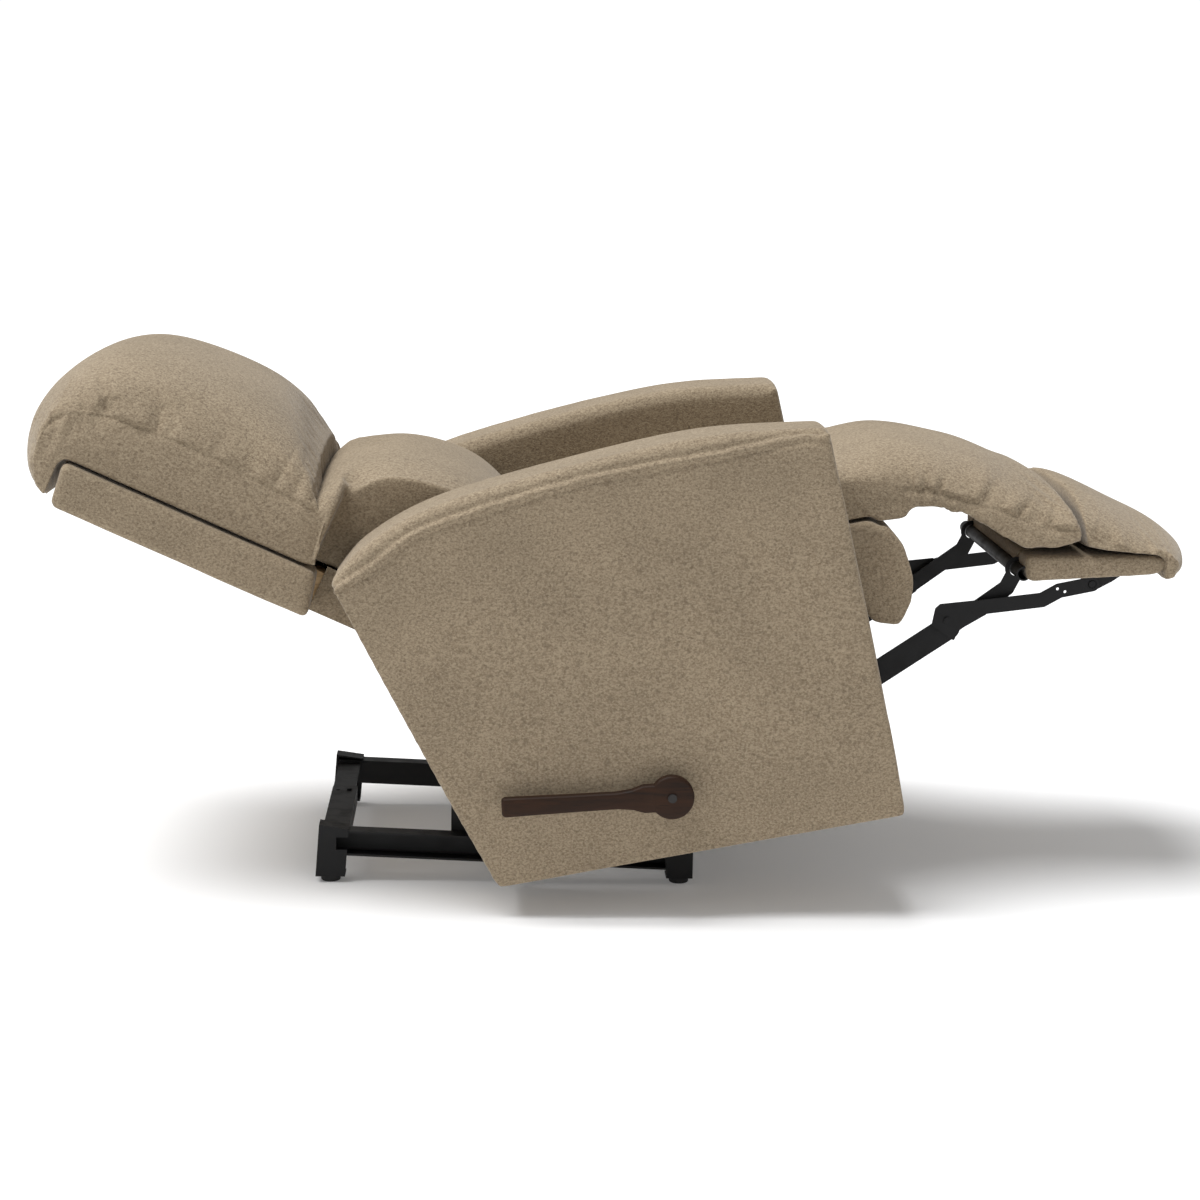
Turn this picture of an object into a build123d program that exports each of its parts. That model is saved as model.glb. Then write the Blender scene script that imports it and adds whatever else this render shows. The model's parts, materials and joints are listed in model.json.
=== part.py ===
from build123d import *
import math
import os

# Reclining armchair with a lever-worked leg rest, shown fully reclined with the leg rest out.
# Row frame, millimetres: X points the way the sitter faces, Y to the sitter's left, Z up.
# The origin is on the floor, under the middle of the steel base.
# The seat frame is drawn level, with its own origin at the arms' rear bottom corner (u forward,
# v up), and is then set down on the base tilted nose-up. The back is drawn standing upright
# about its pivot (b forward, a up) and is then laid back. "right" is the sitter's right, -Y.

SIDES = (("right", -1), ("left", 1))

# Where the seat frame stands, and how it moves on the base
SEAT_X, SEAT_Z, SEAT_TILT = -8.3, 45.2, 10.75
GLIDE_TRAVEL = 262.0            # how far the seat frame slides back as the chair closes
RAIL_SLOPE = 2.3                # the rails fall this many degrees towards the front
SHOE_U, SHOE_V = 37.9, -5.7     # pivot of the rear glide shoes in the seat frame
ROLLER_U, ROLLER_V = 238.0, 28.0
ROLLER_R = 12.0

# Steel base
RAIL_HALF_LENGTH = 262.0
RAIL_MID_Z = 47.9               # height of the rails' centre line at X = 0
RAIL_HEIGHT, RAIL_WEB_Y, RAIL_EDGE_Y = 36.0, 210.0, 240.0
STEEL = 3.0                     # sheet thickness of rails, posts and links
GLIDE_R, GLIDE_STEM_R = 14.0, 5.0
REAR_FOOT_X, FRONT_FOOT_X, FOOT_Y = -252.0, 249.0, 226.0
RAMP_Y = 206.0                  # inner face of the ramp plates, which stand against the webs
RAMP_CLEARANCE = 1.0            # play of the rollers in the ramp slots

# Arms
ARM_INNER_Y, ARM_OUTER_Y = 270.0, 425.0
ARM_LENGTH = 560.0              # along the bottom edge
ARM_PADDING = 26.0
CROWN_FILLET = 24.0

# Side plates and pivots of the seat frame
PLATE_INNER_Y, PLATE_OUTER_Y = 266.0, 270.0
BACK_PIVOT_U, BACK_PIVOT_V = -80.0, 370.0
BACK_LEAN = 55.6                # how far the back lies from upright in the seat frame
PIVOT_R, PIVOT_PLAY = 6.0, 0.06
PIN_ROOM = 9.0                  # half height of the rear posts' notches for the shoe pins

# Seat
SEAT_HALF_WIDTH = 262.0
SEAT_TOP, SEAT_BOTTOM = 470.0, 388.0
DECK_TOP = 381.0                # top of the wooden seat rails
WOOD_RAIL = 24.0                # thickness of the wooden rails
SPRING_WIRE_R, SPRING_PITCH, SPRING_HALF_WIDTH = 1.9, 22.0, 17.0

# Leg rest linkage: four links a side, each pair a parallelogram with the swing centre
SWING_U, SWING_V = 670.0, 346.0         # centre about which the foot board swings
FRONT_KNEE = (687.0, 211.0)             # pivot of the front carrier and the lift link
FRONT_TOE = (900.0, 226.0)              # pivot of the lift link and the foot board bracket
REAR_KNEE = (690.0, 197.0)              # pivot of the rear carrier and the rear link
CROSS_TUBE = (799.0, 265.0)             # tube along the foot board's rear edge
FRONT_HIP = (FRONT_KNEE[0] + SWING_U - FRONT_TOE[0], FRONT_KNEE[1] + SWING_V - FRONT_TOE[1])
REAR_HIP = (REAR_KNEE[0] + SWING_U - CROSS_TUBE[0], REAR_KNEE[1] + SWING_V - CROSS_TUBE[1])
LINK_ELBOW = (564.0, 146.0)             # the carriers' bend, low behind the front rail
CARRIER_Y, LIFT_Y, REAR_LINK_Y, REAR_CARRIER_Y = 194.0, 200.0, 187.0, 181.0
TOE_BRACKET_Y = 195.0
LINK_WIDTH, SLIM_LINK_WIDTH = 35.0, 23.0
BOARD_NOTCH_R = 37.0                    # room in the foot board for the rear links' ends
LINK_PIN_R = 5.0
TUBE_R, TUBE_HALF_LENGTH = 10.0, 240.0
OPEN_PIVOT_PLAY = 1.0

# Lever
SHAFT_U, SHAFT_V, SHAFT_SIZE = 251.0, 88.0, 14.0
CRANK_RADIUS, CRANK_ANGLE = 32.0, 191.3
LEVER_ANGLE = 173.3             # the grip points to the rear when the leg rest is out
LEVER_LENGTH, LEVER_HEAD_R, LEVER_GRIP_R, LEVER_NECK_R = 236.0, 30.0, 13.5, 11.5
LEVER_Y, LEVER_THICKNESS = 440.0, 18.0

# Back
BACK_REAR_B = -45.0             # the outside face of the back lies this far behind the pivot
WING_FRONT_B, WING_INNER_Y, WING_OUTER_Y = 18.0, 263.0, 345.0
WING_FOOT_A, WING_HEAD_A = 110.0, 490.0
BACK_FOOT_A = -112.0
BACK_SWEEP_R = 212.0            # the pad's lower front is round about the pivot
CREASE_A, CREASE_B = 171.0, 157.0
HEAD_HALF_WIDTH = 338.0
SHOULDER_A, SHOULDER_B, SHOULDER_HALF_WIDTH = 132.0, 110.0, 330.0
POST_INNER_Y, POST_OUTER_Y = 215.0, 262.0

seat_place = Location((SEAT_X, 0, SEAT_Z), (0, -SEAT_TILT, 0))
back_place = seat_place * Location((BACK_PIVOT_U, 0, BACK_PIVOT_V), (0, -BACK_LEAN, 0))
rail_place = Location((0, 0, RAIL_MID_Z), (0, RAIL_SLOPE, 0))


# ---------- helpers ----------

def upright(face, y0, y1):
    """A face drawn in (forward, up) made into a solid between two places across the chair."""
    low, high = sorted((y0, y1))
    plane = Plane(origin=(0, low, 0), x_dir=(1, 0, 0), z_dir=(0, -1, 0))
    return extrude(plane * face, amount=high - low, dir=(0, 1, 0))


def polygon(points, corner=0):
    face = make_face(Polyline(*points, close=True))
    return fillet(face.vertices(), corner) if corner else face


def slab(points, y0, y1, corner=0):
    return upright(polygon(points, corner), y0, y1)


def block(x0, x1, y0, y1, z0, z1):
    y0, y1 = sorted((y0, y1))
    middle = ((x0 + x1) / 2, (y0 + y1) / 2, (z0 + z1) / 2)
    return Pos(*middle) * Box(x1 - x0, y1 - y0, z1 - z0)


def rod(point, radius, y0, y1):
    low, high = sorted((y0, y1))
    middle = Pos(point[0], (low + high) / 2, point[1])
    return middle * Rot(90, 0, 0) * Cylinder(radius, high - low)


def ring(point, outer, inner, y0, y1):
    return rod(point, outer, y0, y1) - rod(point, inner, y0, y1)


def strip(points, width):
    """A flat strip with round ends and corners that follows the points."""
    face = Sketch()
    for x, z in points:
        face += Pos(x, z) * Circle(width / 2)
    for (x0, z0), (x1, z1) in zip(points, points[1:]):
        length = math.dist((x0, z0), (x1, z1))
        turn = math.degrees(math.atan2(z1 - z0, x1 - x0))
        face += Pos((x0 + x1) / 2, (z0 + z1) / 2) * Rot(0, 0, turn) * Rectangle(length, width)
    return face


def on_circle(centre, radius, degrees):
    turn = math.radians(degrees)
    return (centre[0] + radius * math.cos(turn), centre[1] + radius * math.sin(turn))


def seat_point(u, v, share):
    """Where a point of the seat frame is, in X and Z, when the glide has run this share."""
    tilt = math.radians(SEAT_TILT * (1 - share))
    open_tilt, slope = math.radians(SEAT_TILT), math.radians(RAIL_SLOPE)
    shoe_x = SEAT_X + SHOE_U * math.cos(open_tilt) - SHOE_V * math.sin(open_tilt)
    shoe_z = SEAT_Z + SHOE_U * math.sin(open_tilt) + SHOE_V * math.cos(open_tilt)
    shoe_x -= share * GLIDE_TRAVEL * math.cos(slope)
    shoe_z += share * GLIDE_TRAVEL * math.sin(slope)
    du, dv = u - SHOE_U, v - SHOE_V
    x = shoe_x + du * math.cos(tilt) - dv * math.sin(tilt)
    return (x, shoe_z + du * math.sin(tilt) + dv * math.cos(tilt))


def both(make):
    """The same piece on the right and on the left, kept in one node."""
    return Compound([make(s) for _, s in SIDES])


def save(shape, name, place=None):
    shape = place * shape if place is not None else shape
    os.makedirs("parts", exist_ok=True)
    export_step(Compound(shape.solids()), f"parts/{name}.step")


# ---------- steel base ----------

def base_rail(s):
    """C-shaped rail, open outwards, in which the rear glide shoe runs."""
    half = RAIL_HEIGHT / 2
    rail = block(-RAIL_HALF_LENGTH, RAIL_HALF_LENGTH, s * RAIL_WEB_Y, s * RAIL_EDGE_Y, -half, half)
    inside = half - STEEL
    hollow = block(-RAIL_HALF_LENGTH - 1, RAIL_HALF_LENGTH + 1, s * (RAIL_WEB_Y + STEEL),
                   s * (RAIL_EDGE_Y + 1), -inside, inside)
    return rail_place * (rail - hollow)


def rail_top(x):
    return RAIL_MID_Z + RAIL_HEIGHT / 2 - x * math.tan(math.radians(RAIL_SLOPE))


def post(s, outline, hollow, foot_x):
    """Folded leg bracket that caps a rail's end: outer, end, top and bottom walls."""
    outer = RAIL_EDGE_Y + STEEL
    shell = slab(outline, s * RAIL_WEB_Y, s * outer)
    shell -= slab(hollow, s * (RAIL_WEB_Y - 1), s * (RAIL_EDGE_Y + 0.2))
    return shell - Pos(foot_x, s * FOOT_Y, 10) * Cylinder(GLIDE_STEM_R, 30)


def rear_post(s):
    """Rear bracket, notched where the shoe's pin comes to rest as the chair closes."""
    top = rail_top(-223) + STEEL + 0.5
    outline = [(-265, top + 6), (-223, top), (-228, 9), (-270, 9)]
    hollow = [(-262, top + 3), (-210, top - STEEL), (-215, 12), (-266.5, 12)]
    x, z = seat_point(SHOE_U, SHOE_V, 1)
    room = block(x - PIN_ROOM, x + PIN_ROOM + 20, s * (RAIL_EDGE_Y - 1), s * 250, z - PIN_ROOM,
                 z + PIN_ROOM)
    return post(s, outline, hollow, REAR_FOOT_X + 3) - room


def front_post(s):
    top = rail_top(227) + STEEL + 0.5
    outline = [(227, top), (268, top), (268, 9), (230, 9)]
    hollow = [(215, top - STEEL), (265, top - STEEL), (265, 12), (215, 12)]
    return post(s, outline, hollow, FRONT_FOOT_X)


def rear_crossbar():
    """Angle bar between the rear posts, in two overlapping halves bolted at the middle."""
    x0, x1, z = -261.0, -224.0, 74.0
    edge = RAIL_WEB_Y
    near = block(x0, x1, -edge, 40, z - STEEL, z) + block(x1 - STEEL, x1, -edge, 40, z - 26, z)
    far = block(x0, x1 - STEEL, -10, edge, z - 2 * STEEL, z - STEEL)
    bolt = Pos(x0 + 26, 15, z - STEEL) * Cylinder(4, 12)
    hole = Pos(x0 + 9, 15, z) * Cylinder(3.5, 30)
    return near + far + bolt - hole


def front_crossbar():
    bar = block(236, 262, -RAMP_Y, RAMP_Y, 14, 40)
    return bar - block(236 + STEEL, 262 - STEEL, -RAMP_Y - 1, RAMP_Y + 1, 13, 40 - STEEL)


def ramp_slot():
    """The curved slot that the seat frame's rollers follow as it slides and tips."""
    ends = [seat_point(ROLLER_U, ROLLER_V, share) for share in (0, 0.5, 1)]
    return SlotArc(ThreePointArc(*ends), 2 * (ROLLER_R + RAMP_CLEARANCE))


def ramp_plate(s):
    """Upright plate against the rail's web, with the curved roller slot."""
    outline = [(-78, 46), (-78, 112), (-40, 128), (170, 143), (232, 143), (248, 127), (248, 44),
               (225, 38)]
    plate = slab(outline, s * RAMP_Y, s * RAIL_WEB_Y, corner=4)
    return plate - upright(ramp_slot(), s * (RAMP_Y - 1), s * (RAIL_WEB_Y + 1))


def floor_glides():
    """Four rubber glides: a domed foot on a stem that passes through the post's bottom wall."""
    glides = []
    for x in (REAR_FOOT_X + 3, FRONT_FOOT_X):
        for _, s in SIDES:
            foot = Pos(x, s * FOOT_Y, 4.5) * Cylinder(GLIDE_R, 9)
            foot = fillet(foot.edges().group_by(Axis.Z)[0], 3)
            glides.append(foot + Pos(x, s * FOOT_Y, 12) * Cylinder(GLIDE_STEM_R, 12))
    return Compound(glides)


def base_bolts():
    """Bolts that hold posts, rails and ramp plates together: heads on the web's inner side."""
    bolts = []
    for x in (-60, 190):
        for _, s in SIDES:
            z = rail_top(x) - RAIL_HEIGHT / 2
            bolts.append(rod((x, z), 6, s * (RAMP_Y - 3), s * RAMP_Y))
    return Compound(bolts)


# ---------- glide shoes ----------

def glide_shoe(s):
    """Nylon block that slides in the rail and turns on the side plate's stub pin."""
    height = RAIL_HEIGHT - 2 * STEEL - 1
    shoe = Box(50, 20, height)
    shoe = fillet(shoe.edges().filter_by(Axis.Y), 5)
    x, z = seat_point(SHOE_U, SHOE_V, 0)
    place = Location((x, s * 227, z), (0, RAIL_SLOPE, 0))
    return place * shoe - rod((x, z), PIVOT_R + PIVOT_PLAY, s * 210, s * 240)


# ---------- seat frame: steel ----------

def side_plate(s):
    """Steel plate on the arm's inner face that carries every pivot of that side."""
    u, v = BACK_PIVOT_U, BACK_PIVOT_V
    outline = [(18, -24), (60, -24), (78, 22), (262, 12), (560, 60), (560, 330), (100, 356),
               (u + 20, v + 22), (u - 16, v + 22), (u - 22, v - 12), (-40, 220)]
    window = [(60, 60), (200, 60), (200, 290), (20, 300), (10, 240)]
    second = [(300, 80), (420, 90), (420, 280), (300, 280)]
    plate = slab(outline, s * PLATE_INNER_Y, s * PLATE_OUTER_Y, corner=8)
    for cut in (window, second):
        plate -= slab(cut, s * (PLATE_INNER_Y - 1), s * (PLATE_OUTER_Y + 1), corner=20)
    return plate - rod((SHAFT_U, SHAFT_V), SHAFT_SIZE, s * 260, s * 280)


def stub_pins():
    """Pins riveted to the side plates: shoe pins, roller pins and the links' hip pins."""
    pins = []
    for _, s in SIDES:
        inner = s * PLATE_INNER_Y
        pins.append(rod((SHOE_U, SHOE_V), PIVOT_R, s * 214, inner))
        pins.append(rod((ROLLER_U, ROLLER_V), PIVOT_R, s * 203, inner))
        pins.append(rod(FRONT_HIP, LINK_PIN_R, s * (CARRIER_Y - 2), inner))
        pins.append(rod(REAR_HIP, LINK_PIN_R, s * (REAR_CARRIER_Y - 2), inner))
    return Compound(pins)


def slot_rollers():
    """Nylon rollers on the roller pins, one in each ramp slot."""
    rollers = []
    for _, s in SIDES:
        rollers.append(ring((ROLLER_U, ROLLER_V), ROLLER_R, PIVOT_R, s * 204, s * 212))
    return Compound(rollers)


def back_pivot_bolts():
    bolts = []
    for _, s in SIDES:
        centre = (BACK_PIVOT_U, BACK_PIVOT_V)
        bolt = rod(centre, PIVOT_R, s * 206, s * PLATE_INNER_Y)
        bolts.append(bolt + rod(centre, 11, s * 206, s * (POST_INNER_Y - 1)))
    return Compound(bolts)


# ---------- seat frame: wood, springs and upholstery ----------

def arm_outline():
    """Side view of an arm: raked rear edge, long gently domed top, straight front."""
    crown = Spline((543, 540), (375, 558.5), (208, 551), (14, 530), (-95, 494), (-153, 452))
    sides = Polyline((-153, 452), (0, 0), (ARM_LENGTH, 0), (543, 540))
    return make_face(crown + sides)


def arm_core(s):
    """Wooden box frame inside the arm."""
    outline = [(20, ARM_PADDING), (536, ARM_PADDING), (520, 506), (208, 520), (14, 500),
               (-90, 462), (-118, 440)]
    return slab(outline, s * (ARM_INNER_Y + 14), s * (ARM_OUTER_Y - 14))


def arm_cover(s):
    """Padding and fabric all round the arm's wooden frame, with a rounded top."""
    body = upright(arm_outline(), s * ARM_INNER_Y, s * ARM_OUTER_Y)
    crown = body.edges().filter_by(GeomType.BSPLINE)
    body = fillet(crown, CROWN_FILLET)
    body -= arm_core(s)
    return body - rod((SHAFT_U, SHAFT_V), SHAFT_SIZE, s * 265, s * 430)


def arm_frame(s):
    return arm_core(s) - rod((SHAFT_U, SHAFT_V), SHAFT_SIZE, s * 265, s * 430)


def seat_side_rails():
    outer = PLATE_INNER_Y - 0.4
    return both(lambda s: block(150, 552, s * 242, s * outer, DECK_TOP - 36, DECK_TOP))


def seat_front_rail():
    return block(552, 574, -PLATE_INNER_Y, PLATE_INNER_Y, 300, DECK_TOP - 2)


def seat_rear_rail():
    return block(150, 150 + WOOD_RAIL, -242, 242, 325, DECK_TOP)


def sinuous_spring(start, end, up, y):
    """Zigzag wire spring between two rails: straight bars joined by half-round bends."""
    count = int((end - start) / SPRING_PITCH) // 2 * 2
    pitch = (end - start) / count
    r = pitch / 2
    reach = SPRING_HALF_WIDTH - r
    path = Line((start, y - reach), (start, y + reach))
    for i in range(count):
        side = 1 if i % 2 == 0 else -1
        x0, x1 = start + i * pitch, start + (i + 1) * pitch
        bend = ThreePointArc((x0, y + side * reach), (x0 + r, y + side * (reach + r)),
                             (x1, y + side * reach))
        path += bend
        path += Line((x1, y + side * reach), (x1, y - side * reach))
    path = Pos(0, 0, up) * path
    first = Plane(origin=(start, y - reach, up), z_dir=(0, 1, 0))
    return sweep(first * Circle(SPRING_WIRE_R), path=path)


def seat_springs():
    return Compound([sinuous_spring(176, 550, DECK_TOP - 2, y) for y in (-144, -72, 0, 72, 144)])


def spring_clips():
    """Steel clips that hold the springs' ends down on the front and rear rails."""
    clips = []
    for y in (-144, -72, 0, 72, 144):
        clips.append(block(153, 173, y - 9, y + 9, DECK_TOP, DECK_TOP + 4))
        clips.append(block(553, 573, y - 9, y + 9, DECK_TOP - 2, DECK_TOP + 2))
    return Compound(clips)


def seat_cushion():
    outline = [(144, SEAT_BOTTOM), (121, SEAT_TOP - 8), (160, SEAT_TOP), (420, SEAT_TOP + 2),
               (603, SEAT_TOP + 6), (603, SEAT_BOTTOM)]
    return slab(outline, -SEAT_HALF_WIDTH, SEAT_HALF_WIDTH, corner=3)


def front_apron():
    """Padded D-shaped rail across the front, under the seat."""
    outline = [(574.5, 371), (620, 371), (637, 339), (643, 290), (635, 258), (612, 226.5),
               (574.5, 239)]
    return slab(outline, -260, 260, corner=9)


# ---------- leg rest links ----------

def carrier(s, hip, knee, y, width):
    """Bent link from a hip on the side plate, under the front rail, to a knee in front."""
    face = strip([hip, LINK_ELBOW], SLIM_LINK_WIDTH) + strip([LINK_ELBOW, knee], width)
    bar = upright(face, s * y, s * (y + STEEL))
    return bar - rod(hip, LINK_PIN_R + PIVOT_PLAY, s * (y - 1), s * (y + 5))


def front_carrier(s):
    """Front carrier with the crank lug that the drive link pushes, and two rivet pins."""
    end = (FRONT_KNEE[0], FRONT_KNEE[1] - 12)
    bar = carrier(s, FRONT_HIP, end, CARRIER_Y, LINK_WIDTH)
    lug = on_circle(FRONT_HIP, CRANK_RADIUS, CRANK_ANGLE)
    arm = upright(strip([FRONT_HIP, lug], 18), s * CARRIER_Y, s * (CARRIER_Y + STEEL))
    bar += arm - rod(FRONT_HIP, LINK_PIN_R + PIVOT_PLAY, s * 190, s * 210)
    bar += rod(lug, LINK_PIN_R, s * CARRIER_Y, s * (LIFT_Y + STEEL))
    return bar + rod(FRONT_KNEE, LINK_PIN_R, s * CARRIER_Y, s * (LIFT_Y + STEEL + 2))


def rear_carrier(s):
    bar = carrier(s, REAR_HIP, REAR_KNEE, REAR_CARRIER_Y, SLIM_LINK_WIDTH)
    return bar + rod(REAR_KNEE, LINK_PIN_R, s * (REAR_CARRIER_Y - 2), s * (REAR_LINK_Y + STEEL))


def lift_link(s):
    """Link with a broad knee plate, from the front knee to the bracket under the board."""
    knee_plate = [(664, 208), (673, 231), (681, 236), (735, 232), (745, 210), (701, 194),
                  (692, 180)]
    path = [(740, 221), (826, 216), (852, 225), FRONT_TOE]
    bar = upright(strip(path, 21) + polygon(knee_plate, 2), s * LIFT_Y, s * (LIFT_Y + STEEL))
    bar -= rod(FRONT_KNEE, LINK_PIN_R + PIVOT_PLAY, s * 190, s * 210)
    bar -= rod(FRONT_TOE, LINK_PIN_R + OPEN_PIVOT_PLAY, s * 190, s * 210)
    for hole in ((850, 228), (860, 222)):
        bar -= rod(hole, 2.2, s * 190, s * 210)
    return bar


def rear_link(s):
    """Link from the rear knee up to the cross tube."""
    path = [REAR_KNEE, (780, 240), CROSS_TUBE]
    face = strip(path, SLIM_LINK_WIDTH) + Pos(*CROSS_TUBE) * Circle(TUBE_R + 7)
    bar = upright(face, s * REAR_LINK_Y, s * (REAR_LINK_Y + STEEL))
    bar -= rod(REAR_KNEE, LINK_PIN_R + PIVOT_PLAY, s * 180, s * 195)
    return bar - rod(CROSS_TUBE, TUBE_R + OPEN_PIVOT_PLAY, s * 180, s * 195)


# ---------- lever and drive ----------

def lever():
    """Wooden lever: round head on the shaft, a waisted neck and a long grip to the rear."""
    neck, end = LEVER_HEAD_R + 26, LEVER_LENGTH - LEVER_GRIP_R
    outline = Polyline((neck, LEVER_NECK_R), (end + 8, LEVER_GRIP_R), (end + LEVER_GRIP_R, 8),
                       (end + LEVER_GRIP_R, -8), (end + 8, -LEVER_GRIP_R), (neck, -LEVER_NECK_R))
    flare = [(18, 24), (40, 15), (neck, LEVER_NECK_R), (neck, -LEVER_NECK_R), (40, -15), (18, -24)]
    grip = make_face(outline + Line((neck, -LEVER_NECK_R), (neck, LEVER_NECK_R)))
    face = grip + polygon(flare) + Circle(LEVER_HEAD_R)
    face = Pos(SHAFT_U, SHAFT_V) * Rot(0, 0, LEVER_ANGLE) * face
    body = upright(face, -LEVER_Y, -(LEVER_Y + LEVER_THICKNESS))
    half = SHAFT_SIZE / 2
    socket = Rot(90, 0, 0) * Box(2 * half, 2 * half, 16)
    return body - Pos(SHAFT_U, -LEVER_Y, SHAFT_V) * socket


def lever_hub():
    """Spacer sleeve between the lever and the arm."""
    outer = rod((SHAFT_U, SHAFT_V), 17, -(ARM_OUTER_Y + 1), -LEVER_Y)
    half = SHAFT_SIZE / 2
    return outer - block(SHAFT_U - half, SHAFT_U + half, -445, -420, SHAFT_V - half, SHAFT_V + half)


def lever_screw():
    """Screw that holds the lever on the shaft's end, its round head outside."""
    outside = LEVER_Y + LEVER_THICKNESS
    return rod((SHAFT_U, SHAFT_V), 6, -outside, -(outside + 3))


def drive_shaft():
    half = SHAFT_SIZE / 2
    return block(SHAFT_U - half, SHAFT_U + half, -(LEVER_Y + 8), 214, SHAFT_V - half,
                 SHAFT_V + half)


def drive_cranks():
    """Flat cranks on the shaft, one a side, each with a pin for its drive link."""
    cranks = []
    half = SHAFT_SIZE / 2
    crank_end = on_circle((SHAFT_U, SHAFT_V), CRANK_RADIUS, CRANK_ANGLE)
    for _, s in SIDES:
        face = strip([(SHAFT_U, SHAFT_V), crank_end], 22) + Pos(SHAFT_U, SHAFT_V) * Circle(15)
        crank = upright(face, s * CARRIER_Y, s * (CARRIER_Y + STEEL))
        crank -= block(SHAFT_U - half, SHAFT_U + half, s * 190, s * 210, SHAFT_V - half,
                       SHAFT_V + half)
        cranks.append(crank + rod(crank_end, LINK_PIN_R, s * CARRIER_Y, s * (LIFT_Y + STEEL)))
    return Compound(cranks)


def drive_link(s):
    """Straight link from the crank to the front carrier's lug; its front pivot has play."""
    start = on_circle((SHAFT_U, SHAFT_V), CRANK_RADIUS, CRANK_ANGLE)
    end = on_circle(FRONT_HIP, CRANK_RADIUS, CRANK_ANGLE)
    y0, y1 = s * (LIFT_Y + 0.5), s * (LIFT_Y + 0.5 + STEEL)
    bar = upright(strip([start, end], 17), y0, y1)
    bar -= rod(start, LINK_PIN_R + PIVOT_PLAY, s * 190, s * 205)
    return bar - rod(end, LINK_PIN_R + OPEN_PIVOT_PLAY, s * 190, s * 205)


# ---------- leg rest ----------

def foot_board():
    """Covered wooden board that carries the leg rest's pads."""
    outline = [(803, 292), (985, 259.5), (1005, 253), (1003, 236), (982, 231), (800, 253.5)]
    board = slab(outline, -250, 250, corner=6) - rod(CROSS_TUBE, TUBE_R, -251, 251)
    for _, s in SIDES:
        board -= rod(CROSS_TUBE, BOARD_NOTCH_R, s * (REAR_LINK_Y - 3), s * (REAR_LINK_Y + 7))
    return board


def cross_tube():
    return ring(CROSS_TUBE, TUBE_R, TUBE_R - 2, -TUBE_HALF_LENGTH, TUBE_HALF_LENGTH)


def toe_bracket(s):
    """Steel tab under the foot board with the pin of the lift link's front end."""
    u, v = FRONT_TOE
    outline = [(u - 16, v + 16.5), (u + 52, v + 8), (u + 30, v - 2), (u + 8, v - 9),
               (u - 8, v - 9)]
    tab = slab(outline, s * TOE_BRACKET_Y, s * (TOE_BRACKET_Y + STEEL))
    return tab + rod(FRONT_TOE, LINK_PIN_R, s * TOE_BRACKET_Y, s * (LIFT_Y + STEEL + 1))


def chaise_bridge():
    """Soft pad that spans from the seat to the foot board and bends as the leg rest swings."""
    outline = [(604, 384), (604, 476), (653, 482), (696, 471), (739, 452), (788, 427),
               (788, 318), (748, 354), (709, 379), (660, 388)]
    return slab(outline, -SEAT_HALF_WIDTH, SEAT_HALF_WIDTH, corner=3)


def chaise_pad():
    outline = [(789, 427), (822, 405), (865, 385), (890, 369), (890, 281), (806, 296), (789, 312)]
    return slab(outline, -SEAT_HALF_WIDTH, SEAT_HALF_WIDTH, corner=3)


def foot_pillow():
    """Front pillow of the leg rest, wrapped round the foot board's front edge."""
    outline = [(891, 368), (949, 338), (990, 308), (1032, 279), (1062, 245), (1064, 226),
               (1048, 214), (1014, 214), (1008, 236), (1008, 256), (986, 263), (891, 279)]
    return slab(outline, -SEAT_HALF_WIDTH, SEAT_HALF_WIDTH, corner=3)


# ---------- back ----------

def back_post(s):
    post_body = block(-30, 10, s * POST_INNER_Y, s * POST_OUTER_Y, -60, 480)
    return post_body - rod((0, 0), PIVOT_R + PIVOT_PLAY, s * 200, s * 265)


def back_rail(a0, a1):
    return block(-30, 10, -POST_INNER_Y, POST_INNER_Y, a0, a1)


def back_wing(s):
    """Padded side panel of the back, beside the pillows."""
    outline = [(BACK_REAR_B, WING_FOOT_A), (WING_FRONT_B, WING_FOOT_A + 14),
               (WING_FRONT_B, WING_HEAD_A + 8), (BACK_REAR_B, WING_HEAD_A)]
    return slab(outline, s * WING_INNER_Y, s * WING_OUTER_Y, corner=6)


def outside_back():
    """Covered panel over the whole rear of the back."""
    return block(BACK_REAR_B, -30.5, -WING_INNER_Y + 1, WING_INNER_Y - 1, BACK_FOOT_A, WING_HEAD_A)


def back_springs():
    springs = []
    for y in (-150, -90, -30, 30, 90, 150):
        spring = sinuous_spring(72, 438, 0, y)
        springs.append(Rot(0, -90, 0) * spring)
    return Compound(springs)


def lumbar_pillow():
    """Lower back pillow, with shoulders that reach out over the arms' rear ends.

    Its lower front edge is round about the pivot so it clears the seat.
    """
    foot_b = math.sqrt(BACK_SWEEP_R ** 2 - BACK_FOOT_A ** 2)
    middle = on_circle((0, 0), BACK_SWEEP_R, -20)
    lower = ThreePointArc((foot_b, BACK_FOOT_A), middle, (BACK_SWEEP_R, 0))
    front = Spline((BACK_SWEEP_R, 0), (205, 54), (193, 98), (176, 139), (CREASE_B, CREASE_A - 1))
    rear = Polyline((CREASE_B, CREASE_A - 1), (18, CREASE_A - 1), (18, BACK_FOOT_A),
                    (foot_b, BACK_FOOT_A))
    pillow = upright(make_face(lower + front + rear), -SEAT_HALF_WIDTH, SEAT_HALF_WIDTH)
    shoulders = [(18, SHOULDER_A), (SHOULDER_B, SHOULDER_A), (SHOULDER_B, CREASE_A - 1),
                 (18, CREASE_A - 1)]
    return pillow + slab(shoulders, -SHOULDER_HALF_WIDTH, SHOULDER_HALF_WIDTH, corner=3)


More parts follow.
